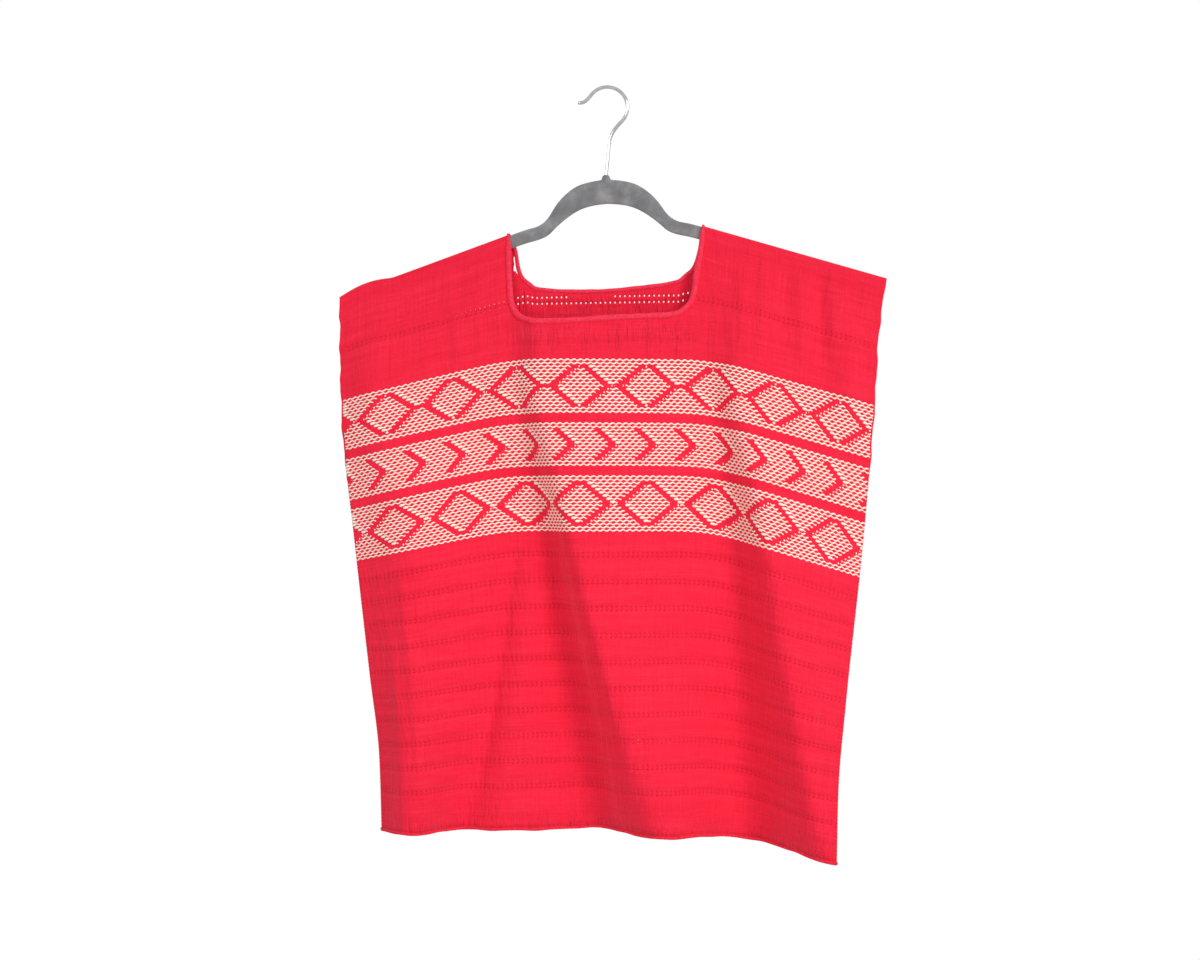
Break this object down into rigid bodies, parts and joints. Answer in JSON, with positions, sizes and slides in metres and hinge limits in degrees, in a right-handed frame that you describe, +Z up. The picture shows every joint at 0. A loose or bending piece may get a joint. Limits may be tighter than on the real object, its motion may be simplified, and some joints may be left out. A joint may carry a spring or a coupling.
{
  "type": "huipil blouse on a hanger",
  "caption": "Square-necked sleeveless huipil blouse of two woven panels with brocaded bands, hanging on a flat flocked hanger with a wire hook.",
  "frame": {"origin": "the seat of the hook: the inside top of its bend, where it rests on a peg or rail", "axes": "+X to the right of someone who looks at the front, +Y to the back of the garment, +Z up"},
  "size_m": [0.568, 0.1247, 0.8004],
  "materials": {
    "red_cotton": "matte plain-woven cotton with cream brocaded bands on the front",
    "red_roll_cotton": "matte rolled and whipped cotton edge",
    "grey_flock": "flocked plastic",
    "chrome_steel": "polished"
  },
  "bodies": {
    "root": {"front_panel": "red_cotton", "back_panel": "red_cotton", "neck_roll": "red_roll_cotton", "hem_roll": "red_roll_cotton", "hanger": "grey_flock", "hook": "chrome_steel"}
  },
  "joints": []
}
